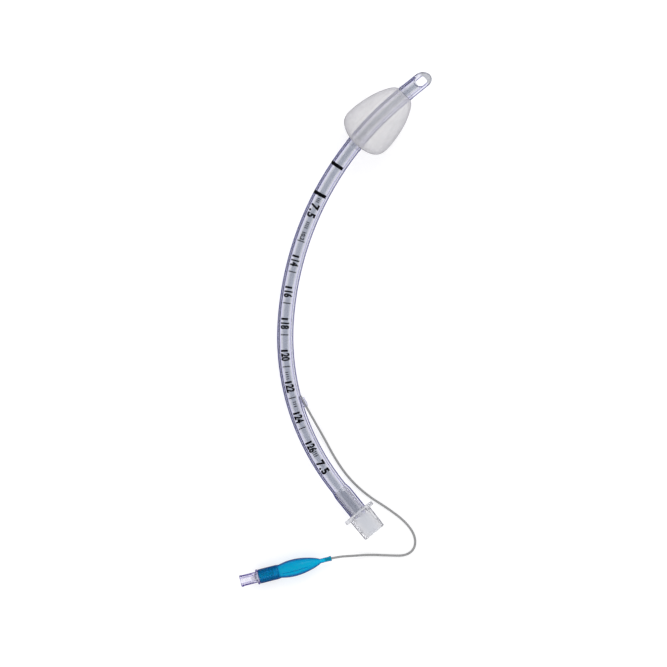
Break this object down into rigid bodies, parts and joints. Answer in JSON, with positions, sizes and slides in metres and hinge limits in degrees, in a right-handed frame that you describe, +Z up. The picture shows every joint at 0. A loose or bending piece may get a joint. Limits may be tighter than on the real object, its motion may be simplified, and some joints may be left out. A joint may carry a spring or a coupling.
{
  "type": "endotracheal tube",
  "caption": "Cuffed breathing tube with an inflated cuff, a side eye at its bevelled tip, a 15 mm connector and an inflation line with a pilot balloon and sprung valve.",
  "frame": {"origin": "centre of the base of the box round the shaft, cuff and connector, on the surface that the tube lies on", "axes": "+Z up from the surface; +Y towards the patient end, whose axis it nearly follows; +X towards the machine end, whose axis it nearly follows"},
  "size_m": [0.2396, 0.293, 0.0336],
  "materials": {
    "clear_pvc": "clear flexible PVC with a faint violet tint",
    "blue_stripe": "opaque navy blue stripe",
    "cuff_film": "frosted translucent film",
    "connector_plastic": "milky translucent polypropylene",
    "line_pvc": "clear grey flexible PVC",
    "blue_pvc": "translucent blue flexible PVC",
    "clear_plastic": "clear rigid plastic with a violet tint",
    "white_plastic": "satin white plastic",
    "seal_rubber": "matt dark rubber",
    "spring_steel": "drawn steel wire"
  },
  "bodies": {
    "tube": {"tube_shaft": "clear_pvc", "radiopaque_stripe": "blue_stripe", "cuff": "cuff_film", "tube_connector": "connector_plastic", "line_bond": "clear_pvc", "inflation_line": "line_pvc", "pilot_balloon": "blue_pvc", "valve_housing": "clear_plastic", "valve_retainer": "white_plastic", "valve_spring": "spring_steel"},
    "plunger": {"valve_plunger": "white_plastic", "valve_seal": "seal_rubber"}
  },
  "joints": [
    {"name": "valve_plunger_slide", "type": "slide", "parent": "tube", "child": "plunger", "axis": [0.4193, 0.9075, 0.026], "range_m": [0, 0.002], "stiffness_N_per_m": 150, "springref_m": -0.004, "deforming": ["valve_spring"]}
  ]
}
